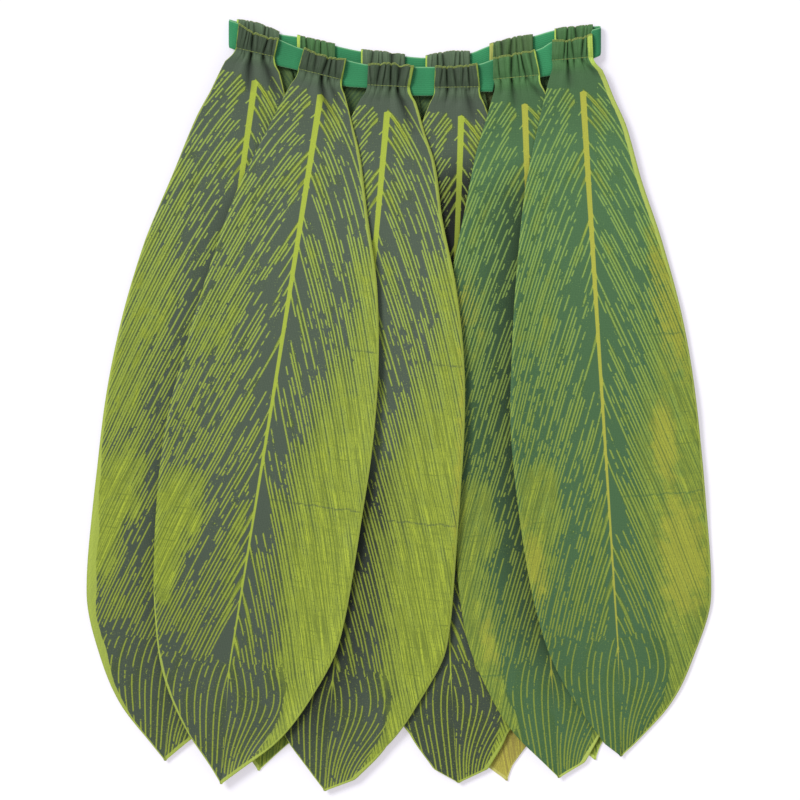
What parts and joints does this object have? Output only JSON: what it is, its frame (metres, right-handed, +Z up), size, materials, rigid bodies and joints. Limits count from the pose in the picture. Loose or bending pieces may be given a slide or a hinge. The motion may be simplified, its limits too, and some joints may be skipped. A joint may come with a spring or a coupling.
{
  "type": "ti leaf skirt",
  "caption": "Hula-style skirt of long pointed printed-cloth leaves threaded by gathered casings on a waist elastic, laid flat.",
  "frame": {"origin": "on the surface that the skirt lies on, under the middle of its outline", "axes": "+X across the skirt to the right as seen from above, +Y from the leaf tips towards the waist, +Z up from the surface towards the front leaves"},
  "size_m": [0.501, 0.6176, 0.0154],
  "materials": {
    "slate_leaf_cloth": "printed woven polyester, dull satin",
    "green_leaf_cloth": "printed woven polyester, dull satin",
    "leaf_cloth_inner_side": "unprinted side of the cloth, matt, the print showing through",
    "waist_elastic": "ribbed knitted elastic, matt",
    "sewing_thread": "twisted polyester thread"
  },
  "bodies": {
    "root": {"elastic_front": "waist_elastic", "elastic_back": "waist_elastic", "leaf_front_1": "slate_leaf_cloth", "leaf_front_2": "slate_leaf_cloth", "leaf_front_3": "slate_leaf_cloth", "leaf_front_4": "slate_leaf_cloth", "leaf_front_5": "green_leaf_cloth", "leaf_front_6": "green_leaf_cloth", "leaf_back_1": "leaf_cloth_inner_side", "leaf_back_2": "leaf_cloth_inner_side", "leaf_back_3": "leaf_cloth_inner_side", "leaf_back_4": "leaf_cloth_inner_side", "leaf_back_5": "leaf_cloth_inner_side", "leaf_back_6": "leaf_cloth_inner_side"}
  },
  "joints": []
}
